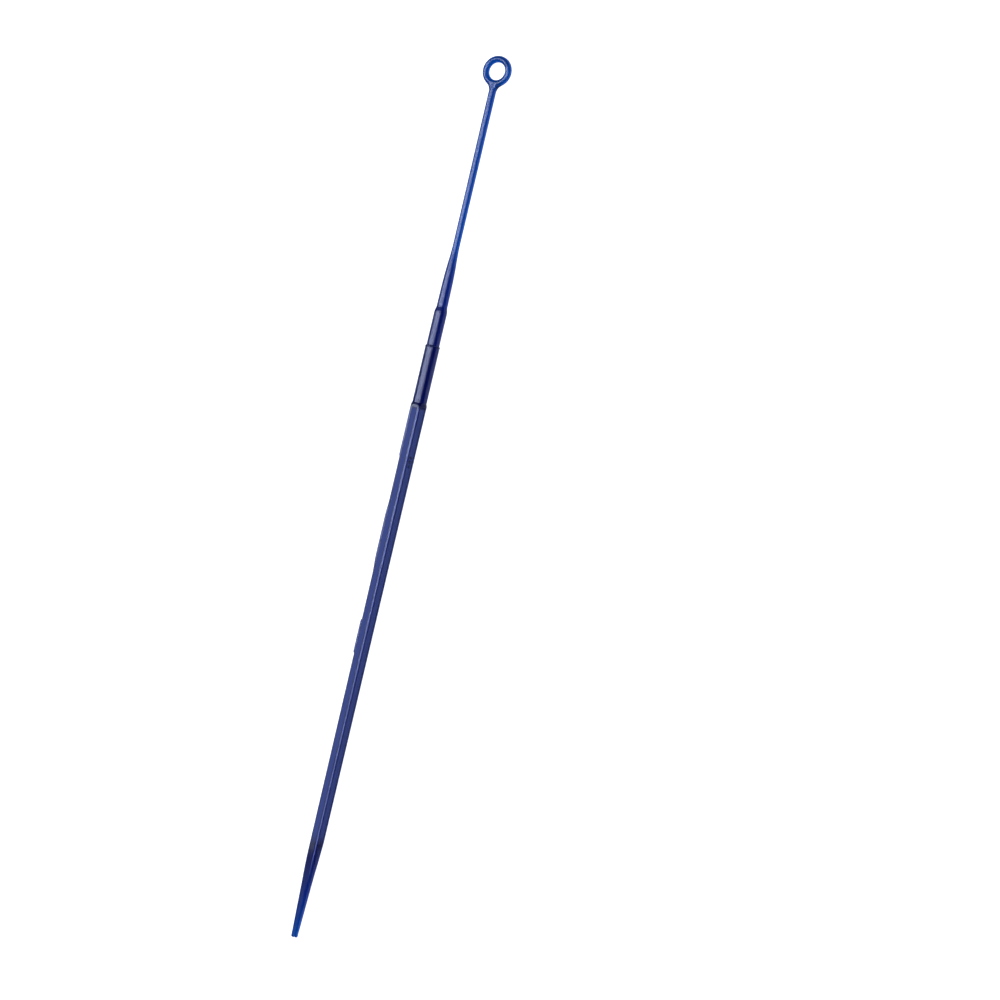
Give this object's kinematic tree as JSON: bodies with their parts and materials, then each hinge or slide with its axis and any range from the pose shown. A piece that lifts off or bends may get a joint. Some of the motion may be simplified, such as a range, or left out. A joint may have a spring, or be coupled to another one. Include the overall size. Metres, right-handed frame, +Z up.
{
  "type": "inoculating loop",
  "caption": "One-piece moulded plastic loop: a small flat ring on a thin springy shank, stepped round collars, a slim hexagonal finger grip and a tapered tail.",
  "frame": {"origin": "on the surface the loop lies on, below the middle of its length and width", "axes": "+X along the loop from the tail towards the ring; +Z up, square to the ring's plane and to the flat that the grip rests on; +Y across, to the left when looking towards the ring from above"},
  "size_m": [0.1988, 0.007, 0.0035],
  "materials": {
    "clear_blue": "gloss",
    "polished_blue": "gloss",
    "satin_blue": "satin"
  },
  "bodies": {
    "root": {"ring": "clear_blue", "ring_neck": "clear_blue", "shank": "clear_blue", "tail_tip": "clear_blue", "shank_flare": "polished_blue", "front_collar": "polished_blue", "rear_collar": "polished_blue", "tail": "polished_blue", "grip": "satin_blue", "cavity_pips": "satin_blue"}
  },
  "joints": []
}
